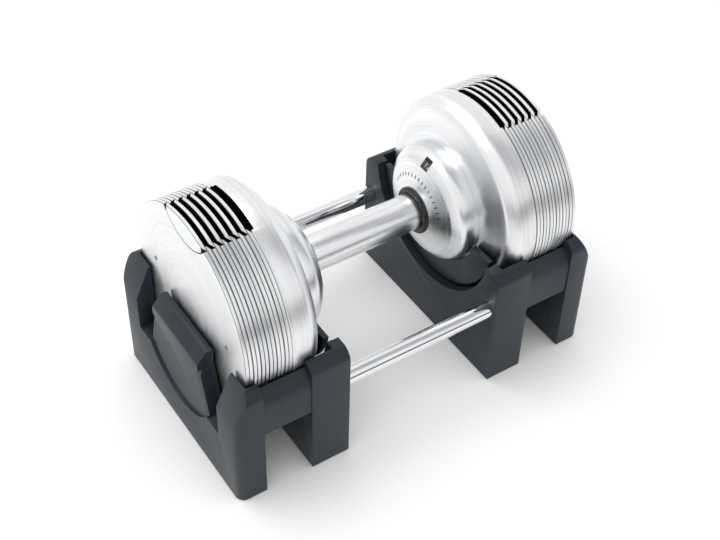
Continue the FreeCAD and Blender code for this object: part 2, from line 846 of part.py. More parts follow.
def check_and_export():
    """Stop on any failed object or broken shape, then write one file for each node."""
    for obj in doc.Objects:
        if "Invalid" in obj.State or "Error" in obj.State:
            raise RuntimeError("%s failed: %s" % (obj.Label, obj.State))
    for name, obj in nodes.items():
        shape = obj.Shape
        if shape.isNull() or not shape.isValid() or not shape.Solids:
            raise RuntimeError("%s has no valid solid" % name)
    os.makedirs("parts", exist_ok=True)
    for name, obj in nodes.items():
        obj.Shape.exportStep("parts/%s.step" % name)
        print("%-24s solids %d  volume %.0f mm3" % (name, len(obj.Shape.Solids), obj.Shape.Volume))


def main():
    """Make every piece, then write them."""
    for side_name in SIDES:
        for index in range(PLATES_PER_HEAD):
            make_plate(side_name, index)
        make_face_rivets(side_name)
        make_cap(side_name)
        make_hub(side_name)
        make_bearing(side_name)
        make_flange(side_name)
        make_dial(side_name)
        make_index_wheel(side_name)
        make_selector(side_name)
        make_detent(side_name)
        make_lock(side_name)
        make_cradle(side_name)
    make_grip()
    make_drive_sleeve()
    make_core_tube()
    make_rails()
    make_feet()
    doc.recompute()
    check_and_export()


main()
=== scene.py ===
"""Looks of the adjustable dumbbell in its two-cradle stand.

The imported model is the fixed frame. Each sub-assembly below is a class: it refines the
frame's own shapes into smooth, softly edged pieces, adds the small parts that repeat,
and dresses everything in procedural finishes.
"""

import logging
import math
from dataclasses import dataclass, field
from enum import Enum
from typing import Any, Iterable

import bmesh
import bpy
from mathutils import Matrix, Vector


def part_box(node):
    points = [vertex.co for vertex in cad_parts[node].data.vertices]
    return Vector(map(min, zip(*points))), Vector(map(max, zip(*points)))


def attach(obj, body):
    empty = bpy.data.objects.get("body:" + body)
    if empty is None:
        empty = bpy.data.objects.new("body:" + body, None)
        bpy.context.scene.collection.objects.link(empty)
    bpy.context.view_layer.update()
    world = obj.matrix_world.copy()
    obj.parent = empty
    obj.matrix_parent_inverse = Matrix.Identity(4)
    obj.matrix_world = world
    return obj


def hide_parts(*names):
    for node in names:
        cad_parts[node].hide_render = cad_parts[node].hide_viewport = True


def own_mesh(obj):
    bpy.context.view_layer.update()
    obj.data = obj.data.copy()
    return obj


LOG = logging.getLogger("dumbbell")

# The heads: their axis and rim, and the round-bottomed pocket of tabs at the top.
# The pocket's centre is given above the axis, and its two ends along X.
AXIS_HEIGHT = 0.133
HEAD_RADIUS = 0.087
PLATES_PER_HEAD = 6
TAB_ARC_HEIGHT = 0.1076
TAB_ARC_RADIUS = 0.042
TAB_START = 0.1137
TAB_END = 0.1575

# How far under the rim the painted shade of a groove and of the pocket begins.
GROOVE_SHADE = 0.00016
POCKET_SHADE = 0.0008
# Painted shade: the grooves between the plates are darkened to this grey, where shade falls between
# them.
GROOVE_PAINTED_SHADE = (0.16, 0.165, 0.175)
# Painted shade: the pocket behind the tabs is blackened to this, where shade falls in the recess.
POCKET_PAINTED_SHADE = (0.006, 0.006, 0.007)

# A face whose normal leans less than this along X belongs to the rim, not to a plate's side.
SIDE_FACE = 0.92

# How far the tool marks are drawn out, round the axis and along it.
TURNED_STRETCH = 0.00035
DRAWN_STRETCH = 0.02

MERGE_GAP = 2e-6
NUMERAL_MERGE_GAP = 1e-7
FLAT_ANGLE = 0.15
SHARP_ANGLE = 30.0

# How much bluer than grey the cards are.
CARD_BLUE = 1.02

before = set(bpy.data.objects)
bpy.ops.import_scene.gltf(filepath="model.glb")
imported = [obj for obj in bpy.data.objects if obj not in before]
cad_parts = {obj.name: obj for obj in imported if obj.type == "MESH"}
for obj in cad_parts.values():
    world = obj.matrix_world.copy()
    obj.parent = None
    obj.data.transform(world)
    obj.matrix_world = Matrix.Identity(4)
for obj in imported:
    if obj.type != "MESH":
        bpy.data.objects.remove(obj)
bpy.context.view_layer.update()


class Side(Enum):
    """The two ends of the dumbbell, by the sign of X."""

    RIGHT = 1
    LEFT = -1

    @property
    def word(self) -> str:
        """The side's name as the nodes spell it."""
        return self.name.lower()


class Grain(Enum):
    """How a machined surface was cut."""

    TURNED = "turned about the grip's axis"
    DRAWN = "drawn along the grip's axis"
    PLAIN = "left as ground"


# ------------------------------------------------------------------ node helpers


class Shader:
    """A small writer of shader trees, so that a finish reads as a recipe."""

    def __init__(self, name: str) -> None:
        """Start an empty material.

        Args:
            name: the material's name.
        """
        self.material = bpy.data.materials.new(name)
        self.material.use_nodes = True
        self.tree = self.material.node_tree
        self.tree.nodes.clear()
        self.output = self.tree.nodes.new("ShaderNodeOutputMaterial")
        self.bsdf = self.tree.nodes.new("ShaderNodeBsdfPrincipled")
        self.tree.links.new(self.bsdf.outputs[0], self.output.inputs[0])

    def node(self, kind: str, **values: Any) -> bpy.types.Node:
        """Add a node and set its properties.

        Args:
            kind: the node's type, without the ShaderNode prefix.
            **values: properties of the node.

        Returns:
            The new node.
        """
        made = self.tree.nodes.new("ShaderNode" + kind)
        for key, value in values.items():
            setattr(made, key, value)
        return made

    def feed(self, socket: bpy.types.NodeSocket, value: Any) -> None:
        """Set a socket to a constant, or link it from another socket."""
        if isinstance(value, bpy.types.NodeSocket):
            self.tree.links.new(value, socket)
        else:
            socket.default_value = value

    def arithmetic(self, kind: str, first: Any, second: Any = 0.0) -> bpy.types.NodeSocket:
        """One arithmetic step.

        Args:
            kind: the operation.
            first: the first number or socket.
            second: the second number or socket.

        Returns:
            The result's socket.
        """
        made = self.node("Math", operation=kind)
        self.feed(made.inputs[0], first)
        self.feed(made.inputs[1], second)
        return made.outputs[0]

    def place(self) -> bpy.types.NodeSocket:
        """The point in the object's own frame."""
        return self.node("TexCoord").outputs["Object"]

    def noise(
        self, vector: Any, scale: float, detail: float = 3.0, rough: float = 0.5
    ) -> bpy.types.NodeSocket:
        """Fractal noise.

        Args:
            vector: where to sample.
            scale: cells in a metre.
            detail: how many octaves.
            rough: how strong the finer ones are.

        Returns:
            The noise's value socket.
        """
        made = self.node("TexNoise", noise_dimensions="3D")
        self.feed(made.inputs["Vector"], vector)
        made.inputs["Scale"].default_value = scale
        made.inputs["Detail"].default_value = detail
        made.inputs["Roughness"].default_value = rough
        return made.outputs["Fac"]

    def remap(
        self, value: Any, low: float, high: float, to_low: float = 0.0, to_high: float = 1.0
    ) -> bpy.types.NodeSocket:
        """Stretch a value from one range to another, clamped.

        Args:
            value: the value's socket.
            low: the start of its range.
            high: the end of its range.
            to_low: what the start becomes.
            to_high: what the end becomes.

        Returns:
            The stretched value's socket.
        """
        made = self.node("MapRange")
        for socket, number in zip(made.inputs[:5], (value, low, high, to_low, to_high)):
            self.feed(socket, number)
        return made.outputs[0]

    def tint(self, factor: Any, dark: Any, light: Any) -> bpy.types.NodeSocket:
        """A colour between two.

        Args:
            factor: 0 for the first, 1 for the second.
            dark: the first colour, or its socket.
            light: the second colour, or its socket.

        Returns:
            The colour's socket.
        """
        made = self.node("Mix", data_type="RGBA")
        self.feed(made.inputs[0], factor)
        for socket, value in ((made.inputs[6], dark), (made.inputs[7], light)):
            self.feed(socket, value if isinstance(value, bpy.types.NodeSocket) else (*value, 1.0))
        return made.outputs[2]

    def all_of(self, *masks: Any) -> bpy.types.NodeSocket:
        """Where every one of several masks holds.

        Args:
            *masks: sockets that are 0 or 1.

        Returns:
            The joint mask's socket.
        """
        joined = masks[0]
        for mask in masks[1:]:
            joined = self.arithmetic("MULTIPLY", joined, mask)
        return joined

    def blend(self, first: Any, second: Any, share: float) -> bpy.types.NodeSocket:
        """Two values added in shares that make 1.

        Args:
            first: the first value.
            second: the second value.
            share: how much of the second there is.

        Returns:
            The sum's socket.
        """
        weighted = self.arithmetic("MULTIPLY", first, 1.0 - share)
        return self.arithmetic("ADD", weighted, self.arithmetic("MULTIPLY", second, share))

    def bump(self, height: Any, depth: float, strength: float) -> bpy.types.NodeSocket:
        """A bump on the normal.

        Args:
            height: the height's socket, 0 to 1.
            depth: metres for a height of 1.
            strength: how much of it is applied.

        Returns:
            The normal's socket.
        """
        made = self.node("Bump")
        made.inputs["Strength"].default_value = strength
        made.inputs["Distance"].default_value = depth
        self.feed(made.inputs["Height"], height)
        return made.outputs[0]

    def finish(self, **sockets: Any) -> bpy.types.Material:
        """Set the surface's own sockets by name and give the material back."""
        for key, value in sockets.items():
            self.feed(self.bsdf.inputs[key.replace("_", " ")], value)
        return self.material


@dataclass(frozen=True)
class Finish:
    """What every finish has: its material's name and the record's slot."""

    name: str
    slot: str

    def material(self) -> bpy.types.Material:
        """The finish's material, made once."""
        found = bpy.data.materials.get(self.name)
        return found if found is not None else self.build(Shader(self.name))

    def build(self, shader: Shader) -> bpy.types.Material:
        """Write the shader tree. Each finish has its own."""
        raise NotImplementedError


@dataclass(frozen=True)
class MachinedMetal(Finish):
    """Bright metal with tool marks, faint handling marks and a slight colour drift; where asked,
    shade is painted into the grooves and the pocket behind the tabs.
    """

    light: tuple[float, float, float] = (0.86, 0.87, 0.88)
    dark: tuple[float, float, float] = (0.68, 0.692, 0.707)
    rough_low: float = 0.26
    rough_high: float = 0.40
    grain: Grain = Grain.TURNED
    mark_depth: float = 0.000035
    mark_strength: float = 0.55
    marks_per_metre: float = 900.0
    drift_per_metre: float = 144.0
    smudges_per_metre: float = 22.0
    # Whether shade is painted into the pocket behind the tabs, and into the grooves between the
    # plates.
    tabs: bool = False
    grooves: bool = False

    def reach(self, shader: Shader, height: float) -> bpy.types.NodeSocket:
        """The distance from a line along X.

        Args:
            shader: the tree being written.
            height: the line's height.

        Returns:
            The distance's socket.
        """
        parts = shader.node("SeparateXYZ")
        shader.feed(parts.inputs[0], shader.place())
        up = shader.arithmetic("SUBTRACT", parts.outputs[2], height)
        across = shader.arithmetic("MULTIPLY", parts.outputs[1], parts.outputs[1])
        squares = shader.arithmetic("ADD", across, shader.arithmetic("MULTIPLY", up, up))
        return shader.arithmetic("SQRT", squares)

    def mark_space(self, shader: Shader) -> bpy.types.NodeSocket:
        """A space in which the tool marks run the way the metal was cut.

        Args:
            shader: the tree being written.

        Returns:
            The vector's socket.
        """
        if self.grain is Grain.PLAIN:
            return shader.place()
        parts = shader.node("SeparateXYZ")
        shader.feed(parts.inputs[0], shader.place())
        x, y, z = parts.outputs
        joined = shader.node("CombineXYZ")
        if self.grain is Grain.TURNED:
            turn = shader.arithmetic("ARCTAN2", shader.arithmetic("SUBTRACT", z, AXIS_HEIGHT), y)
            drawn_out = shader.arithmetic("MULTIPLY", turn, TURNED_STRETCH)
            axes = (x, self.reach(shader, AXIS_HEIGHT), drawn_out)
        else:
            axes = (shader.arithmetic("MULTIPLY", x, DRAWN_STRETCH), y, z)
        for socket, source in zip(joined.inputs, axes):
            shader.feed(socket, source)
        return joined.outputs[0]

    def shadowed(self, shader: Shader, colour: bpy.types.NodeSocket) -> bpy.types.NodeSocket:
        """Paint shade into the colour: blacken the pocket behind the tabs and darken the grooves
        round the rim.

        Args:
            shader: the tree being written.
            colour: the metal's own colour.

        Returns:
            The colour with the painted shade added.
        """
        spread = shader.node("SeparateXYZ")
        shader.feed(spread.inputs[0], shader.place())
        along = shader.arithmetic("ABSOLUTE", spread.outputs[0])
        reach = self.reach(shader, AXIS_HEIGHT)
        if self.grooves:
            # Painted shade: the sloping faces of the grooves between the plates are darkened in the
            # colour.
            facing = shader.node("SeparateXYZ")
            shader.feed(facing.inputs[0], shader.node("TexCoord").outputs["Normal"])
            lean = shader.arithmetic("ABSOLUTE", facing.outputs[0])
            groove = shader.all_of(
                shader.arithmetic("LESS_THAN", lean, SIDE_FACE),
                shader.arithmetic("LESS_THAN", reach, HEAD_RADIUS - GROOVE_SHADE),
            )
            colour = shader.tint(groove, colour, GROOVE_PAINTED_SHADE)
        if self.tabs:
            # Painted shade: the recess behind the tabs is blackened in the colour.
            from_tabs = self.reach(shader, AXIS_HEIGHT + TAB_ARC_HEIGHT)
            pocket = shader.all_of(
                shader.arithmetic("LESS_THAN", from_tabs, TAB_ARC_RADIUS),
                shader.arithmetic("LESS_THAN", reach, HEAD_RADIUS - POCKET_SHADE),
                shader.arithmetic("GREATER_THAN", along, TAB_START),
                shader.arithmetic("LESS_THAN", along, TAB_END),
            )
            colour = shader.tint(pocket, colour, POCKET_PAINTED_SHADE)
        return colour

    def build(self, shader: Shader) -> bpy.types.Material:
        """Write the metal: marks, smudges, drift and the painted shade."""
        space = self.mark_space(shader)
        marks = shader.noise(space, self.marks_per_metre, 4.0, 0.6)
        drift = shader.noise(space, self.drift_per_metre, 2.0, 0.5)
        smudge = shader.noise(shader.place(), self.smudges_per_metre, 4.0, 0.6)
        cut = shader.blend(marks, drift, 0.35)
        worn = shader.blend(cut, smudge, 0.4)
        rough = shader.remap(worn, 0.35, 0.65, self.rough_low, self.rough_high)
        colour = shader.tint(shader.remap(cut, 0.35, 0.62), self.dark, self.light)
        colour = self.shadowed(shader, colour)
        normal = shader.bump(marks, self.mark_depth, self.mark_strength)
        return shader.finish(Base_Color=colour, Metallic=1.0, Roughness=rough, Normal=normal)


@dataclass(frozen=True)
class MouldedPlastic(Finish):
    """Injection-moulded plastic: a fine spark-eroded grain with slight sheen variation."""

    light: tuple[float, float, float] = (0.015, 0.023, 0.034)
    dark: tuple[float, float, float] = (0.008, 0.013, 0.020)
    rough: float = 0.42
    gloss: float = 0.36
    grain_scale: float = 1500.0
    grain_depth: float = 0.00006
    flow_scale: float = 14.0

    def build(self, shader: Shader) -> bpy.types.Material:
        """Write the plastic: its grain, and the drift of colour and sheen along the flow."""
        place = shader.place()
        grain = shader.noise(place, self.grain_scale, 2.0, 0.5)
        flow = shader.noise(place, self.flow_scale, 3.0, 0.55)
        colour = shader.tint(shader.remap(flow, 0.3, 0.7), self.dark, self.light)
        rough = shader.remap(flow, 0.3, 0.7, self.rough - 0.05, self.rough + 0.07)
        normal = shader.bump(grain, self.grain_depth, 0.5)
        return shader.finish(
            Base_Color=colour, Roughness=rough, Specular_IOR_Level=self.gloss, Normal=normal
        )


@dataclass(frozen=True)
class ClearLens(Finish):
    """A clear moulded pane."""

    colour: tuple[float, float, float, float] = (0.96, 0.98, 1.0, 1.0)
    ripple_scale: float = 60.0
    ripple_depth: float = 0.0001

    def build(self, shader: Shader) -> bpy.types.Material:
        """Write the pane, with faint moulding ripple."""
        ripple = shader.noise(shader.place(), self.ripple_scale, 1.0, 0.5)
        normal = shader.bump(ripple, self.ripple_depth, 0.2)
        return shader.finish(
            Base_Color=self.colour, Roughness=0.04, Transmission_Weight=1.0, IOR=1.49, Normal=normal
        )


@dataclass(frozen=True)
class Paint(Finish):
    """A printed or inked mark."""

    colour: tuple[float, float, float] = (0.9, 0.9, 0.9)
    rough: float = 0.5
    speckle_scale: float = 2600.0

    def build(self, shader: Shader) -> bpy.types.Material:
        """Write the ink: a slightly uneven print."""
        speckle = shader.noise(shader.place(), self.speckle_scale, 2.0, 0.5)
        dim = tuple(0.86 * value for value in self.colour)
        colour = shader.tint(shader.remap(speckle, 0.35, 0.65), dim, self.colour)
        return shader.finish(Base_Color=colour, Roughness=self.rough)


# The plates and the housing get painted shade in the pocket behind the tabs; the plates also in their
# grooves.
PLATE_STEEL = MachinedMetal("turned plate steel", "machined_plate", tabs=True, grooves=True)
HOUSING_STEEL = MachinedMetal(
    "turned housing steel", "machined_housing", tabs=True, mark_depth=0.000025
)
HUB_STEEL = MachinedMetal(
    "turned hub steel", "machined_hub", rough_low=0.24, rough_high=0.36, mark_depth=0.000025
)
GRIP_STEEL = MachinedMetal(
    "satin grip steel",
    "satin_grip",
    grain=Grain.DRAWN,
    rough_low=0.22,
    rough_high=0.32,
    mark_depth=0.00001,
)
RAIL_CHROME = MachinedMetal(
    "polished rail chrome",
    "polished_rail",
    grain=Grain.DRAWN,
    rough_low=0.04,
    rough_high=0.09,
    mark_depth=0.000004,
)
TOOL_STEEL = MachinedMetal(
    "ground tool steel", "tool_steel", light=(0.66, 0.67, 0.69), dark=(0.5, 0.51, 0.53)
)
WHEEL_STEEL = MachinedMetal(
    "index wheel steel",
    "index_wheel",
    light=(0.62, 0.63, 0.65),
    dark=(0.48, 0.49, 0.5),
    grain=Grain.PLAIN,
)
SPRING_STEEL = MachinedMetal(
    "spring wire",
    "spring_steel",
    light=(0.6, 0.6, 0.62),
    dark=(0.42, 0.42, 0.44),
    grain=Grain.PLAIN,
)
BRONZE = MachinedMetal(
    "bearing bronze",
    "bronze_bush",
    light=(0.76, 0.55, 0.3),
    dark=(0.6, 0.4, 0.2),
    rough_low=0.28,
    rough_high=0.42,
)
BLACK_OXIDE = MachinedMetal(
    "black oxide screw",
    "fastener_steel",
    light=(0.09, 0.09, 0.095),
    dark=(0.045, 0.045, 0.05),
    grain=Grain.PLAIN,
    rough_low=0.3,
    rough_high=0.45,
)
RIVET_STEEL = MachinedMetal(
    "dark rivet",
    "dark_rivet",
    light=(0.3, 0.3, 0.31),
    dark=(0.16, 0.16, 0.17),
    grain=Grain.PLAIN,
    rough_low=0.3,
    rough_high=0.45,
)
STAND_PLASTIC = MouldedPlastic("stand plastic", "stand_plastic")
COLLAR_PLASTIC = MouldedPlastic(
    "collar plastic",
    "black_collar",
    light=(0.012, 0.012, 0.013),
    dark=(0.007, 0.007, 0.008),
    rough=0.3,
)
DIAL_PLASTIC = MouldedPlastic(
    "dial plastic", "dial_plastic", light=(0.02, 0.02, 0.022), dark=(0.012, 0.012, 0.013), rough=0.4
)
DETENT_PLASTIC = MouldedPlastic(
    "detent plastic", "detent_plastic", light=(0.09, 0.09, 0.09), dark=(0.06, 0.06, 0.06)
)
FOOT_RUBBER = MouldedPlastic(
    "foot rubber",
    "foot_rubber",
    light=(0.022, 0.022, 0.022),
    dark=(0.014, 0.014, 0.014),
    rough=0.75,
)
LENS = ClearLens("dial window", "clear_lens")
DIAL_INK = Paint("dial numeral ink", "dial_plastic")
MARK_INK = Paint("engraved graduation", "black_collar", colour=(0.02, 0.02, 0.022), rough=0.4)


# ------------------------------------------------------------------ mesh helpers


def new_piece(name: str, mesh: bpy.types.Mesh, finish: Finish, body: str) -> bpy.types.Object:
    """Make a finished piece that rides on a body.

    Args:
        name: the piece's name.
        mesh: its mesh, already in the row frame.
        finish: its finish.
        body: the body it moves with.

    Returns:
        The new object.
    """
    mesh.materials.clear()
    mesh.materials.append(finish.material())
    piece = bpy.data.objects.new(name, mesh)
    bpy.context.scene.collection.objects.link(piece)
    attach(piece, body)
    LOG.info("%s: %d faces, rides on %s", name, len(mesh.polygons), body)
    return piece


def flat_sheet(name: str, width: float, depth: float) -> bpy.types.Mesh:
    """A flat rectangle about the origin, facing up.

    Args:
        name: the mesh's name.
        width: its size along X.
        depth: its size along Y.

    Returns:
        The new mesh.
    """
    x = width / 2
    y = depth / 2
    mesh = bpy.data.meshes.new(name)
    mesh.from_pydata([(-x, -y, 0), (x, -y, 0), (x, y, 0), (-x, y, 0)], [], [(0, 1, 2, 3)])
    return mesh


def soften(mesh: bpy.types.Mesh, angle: float) -> None:
    """Shade a mesh smooth, but keep edges sharper than an angle.

    Args:
        mesh: the mesh to shade.
        angle: the limit, in degrees.
    """
    work = bmesh.new()
    work.from_mesh(mesh)
    for face in work.faces:
        face.smooth = True
    limit = math.radians(angle)
    for edge in work.edges:
        edge.smooth = len(edge.link_faces) == 2 and edge.calc_face_angle(0.0) < limit
    work.to_mesh(mesh)
    work.free()


def evaluated_mesh(holder: bpy.types.Object) -> bpy.types.Mesh:
    """The plain mesh that an object's modifiers make.

    Args:
        holder: the object that carries them.

    Returns:
        A mesh of its own.
    """
    graph = bpy.context.evaluated_depsgraph_get()
    return bpy.data.meshes.new_from_object(holder.evaluated_get(graph))


@dataclass
class Refined:
    """A merged, softly edged copy of one of the frame's own shapes.

    An edge of 0 leaves the edges as they are.
    """

    node: str
    finish: Finish
    body: str
    edge: float = 0.0
    segments: int = 2
    angle: float = 28.0
    shading_margin: float = 4.0

    def merged(self) -> bpy.types.Mesh:
        """Join the node's loose triangles, and make its flat faces whole.

        Returns:
            A mesh of its own.
        """
        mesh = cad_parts[self.node].data.copy()
        if "custom_normal" in mesh.attributes:
            mesh.attributes.remove(mesh.attributes["custom_normal"])
        work = bmesh.new()
        work.from_mesh(mesh)
        bmesh.ops.remove_doubles(work, verts=work.verts, dist=MERGE_GAP)
        if self.edge > 0.0:
            bmesh.ops.dissolve_limit(
                work,
                angle_limit=math.radians(FLAT_ANGLE),
                verts=work.verts,
                edges=work.edges,
                delimit={"NORMAL"},
            )
        work.to_mesh(mesh)
        work.free()
        return mesh

    def build(self) -> bpy.types.Object:
        """Make the piece and let it stand for its node.

        Returns:
            The finished piece.
        """
        mesh = self.merged()
        name = self.node + "_piece"
        if self.edge > 0.0:
            holder = bpy.data.objects.new(name + "_work", mesh)
            bpy.context.scene.collection.objects.link(holder)
            bevel = holder.modifiers.new("edge", "BEVEL")
            bevel.width = self.edge
            bevel.segments = self.segments
            bevel.limit_method = "ANGLE"
            bevel.angle_limit = math.radians(self.angle)
            bevel.use_clamp_overlap = True
            bevel.miter_outer = "MITER_ARC"
            mesh = evaluated_mesh(holder)
            bpy.data.objects.remove(holder)
        soften(mesh, self.angle + self.shading_margin)
        piece = new_piece(name, mesh, self.finish, self.body)
        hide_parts(self.node)
        return piece


class Pattern:
    """A Geometry Nodes tree with named inputs, run once to give a plain mesh."""

    def __init__(self, name: str, **inputs: float) -> None:
        """Start a tree.

        Args:
            name: the tree's name.
            **inputs: the named inputs and their values.
        """
        self.values = inputs
        self.tree = bpy.data.node_groups.new(name, "GeometryNodeTree")
        self.tree.interface.new_socket("Geometry", in_out="OUTPUT", socket_type="NodeSocketGeometry")
        for key, value in inputs.items():
            kind = "NodeSocketInt" if isinstance(value, int) else "NodeSocketFloat"
            self.tree.interface.new_socket(key, in_out="INPUT", socket_type=kind)
        self.inlet = self.tree.nodes.new("NodeGroupInput")
        self.outlet = self.tree.nodes.new("NodeGroupOutput")

    def node(self, kind: str, prefix: str = "GeometryNode", **values: Any) -> bpy.types.Node:
        """Add a node and set its properties.

        Args:
            kind: the node's type, without its prefix.
            prefix: the family that the type's name starts with.
            **values: properties of the node.

        Returns:
            The new node.
        """
        made = self.tree.nodes.new(prefix + kind)
        for key, value in values.items():
            setattr(made, key, value)
        return made

    def link(self, source: bpy.types.NodeSocket, target: bpy.types.NodeSocket) -> None:
        """Join two sockets."""
        self.tree.links.new(source, target)

    def given(self, name: str) -> bpy.types.NodeSocket:
        """The named input's socket inside the tree."""
        return self.inlet.outputs[name]

    def feed(self, made: bpy.types.Node, *values: Any) -> bpy.types.NodeSocket:
        """Give a node its first inputs, as numbers or sockets.

        Args:
            made: the node.
            *values: what goes into its inputs, in order.

        Returns:
            The node's first output.
        """
        for socket, value in zip(made.inputs, values):
            if isinstance(value, bpy.types.NodeSocket):
                self.link(value, socket)
            else:
                socket.default_value = value
        return made.outputs[0]

    def arithmetic(self, kind: str, first: Any, second: Any = 0.0) -> bpy.types.NodeSocket:
        """One arithmetic step on numbers or sockets."""
        return self.feed(self.node("Math", "ShaderNode", operation=kind), first, second)

    def vector(self, x: Any, y: Any, z: Any) -> bpy.types.NodeSocket:
        """Three numbers or sockets as one vector."""
        return self.feed(self.node("CombineXYZ", "ShaderNode"), x, y, z)

    def close(self, geometry: bpy.types.NodeSocket, finish: Finish) -> None:
        """End the tree: make the instances real and set their material.

        Args:
            geometry: the instances.
            finish: their finish.
        """
        real = self.node("RealizeInstances")
        dressed = self.node("SetMaterial")
        dressed.inputs["Material"].default_value = finish.material()
        self.link(geometry, real.inputs[0])
        self.link(real.outputs[0], dressed.inputs["Geometry"])
        self.link(dressed.outputs[0], self.outlet.inputs[0])

    def mesh(self) -> bpy.types.Mesh:
        """Run the tree.

        Returns:
            A plain mesh, in the row frame.
        """
        holder = bpy.data.objects.new(self.tree.name, bpy.data.meshes.new(self.tree.name))
        bpy.context.scene.collection.objects.link(holder)
        modifier = holder.modifiers.new("pattern", "NODES")
        modifier.node_group = self.tree
        for item in self.tree.interface.items_tree:
            if item.item_type == "SOCKET" and item.in_out == "INPUT":
                modifier[item.identifier] = self.values[item.name]
        made = evaluated_mesh(holder)
        bpy.data.objects.remove(holder)
        return made


# ----------------------------------------------------------------- sub-assemblies


@dataclass
class PlateStack:
    """The laminated plates of one head, with the rivets on the outermost one."""

    side: Side
    rivet_circle: float = 0.058
    rivet_radius: float = 0.0022
    rivet_height: float = 0.0007
    rivet_taper: float = 0.72
    rivet_sides: int = 32

    def build(self) -> None:
        """Make the plates and their rivets."""
        for index in range(1, PLATES_PER_HEAD + 1):
            name = "plate_%s_%d" % (self.side.word, index)
            Refined(name, PLATE_STEEL, name).build()
        self.rivets()

    def rivets(self) -> bpy.types.Object:
        """Two low rivet heads, instanced on a line.

        Returns:
            The finished piece.
        """
        low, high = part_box("face_rivets_" + self.side.word)
        face = low.x if self.side is Side.RIGHT else high.x
        pattern = Pattern(
            "rivets_" + self.side.word,
            Circle=self.rivet_circle,
            Radius=self.rivet_radius,
            Taper=self.rivet_taper,
            Sides=self.rivet_sides,
            Height=self.rivet_height,
            Face=float(face),
            Turn=self.side.value * math.pi / 2,
        )
        line = pattern.node("MeshLine", mode="END_POINTS")
        line.inputs["Count"].default_value = 2
        middle = (low.z + high.z) / 2
        reach = pattern.given("Circle")
        opposite = pattern.arithmetic("MULTIPLY", reach, -1.0)
        front = pattern.vector(pattern.given("Face"), opposite, middle)
        rear = pattern.vector(pattern.given("Face"), reach, middle)
        pattern.link(front, line.inputs["Start Location"])
        pattern.link(rear, line.inputs["Offset"])
        head = pattern.node("MeshCone")
        top = pattern.arithmetic("MULTIPLY", pattern.given("Radius"), pattern.given("Taper"))
        pattern.link(pattern.given("Sides"), head.inputs["Vertices"])
        pattern.link(top, head.inputs["Radius Top"])
        pattern.link(pattern.given("Radius"), head.inputs["Radius Bottom"])
        pattern.link(pattern.given("Height"), head.inputs["Depth"])
        placed = pattern.node("InstanceOnPoints")
        pattern.link(line.outputs[0], placed.inputs["Points"])
        pattern.link(head.outputs[0], placed.inputs["Instance"])
        pattern.link(pattern.vector(0.0, pattern.given("Turn"), 0.0), placed.inputs["Rotation"])
        pattern.close(placed.outputs[0], RIVET_STEEL)
        mesh = pattern.mesh()
        soften(mesh, SHARP_ANGLE)
        body = "plate_%s_%d" % (self.side.word, PLATES_PER_HEAD)
        piece = new_piece("rivet_heads_" + self.side.word, mesh, RIVET_STEEL, body)
        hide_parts("face_rivets_" + self.side.word)
        return piece


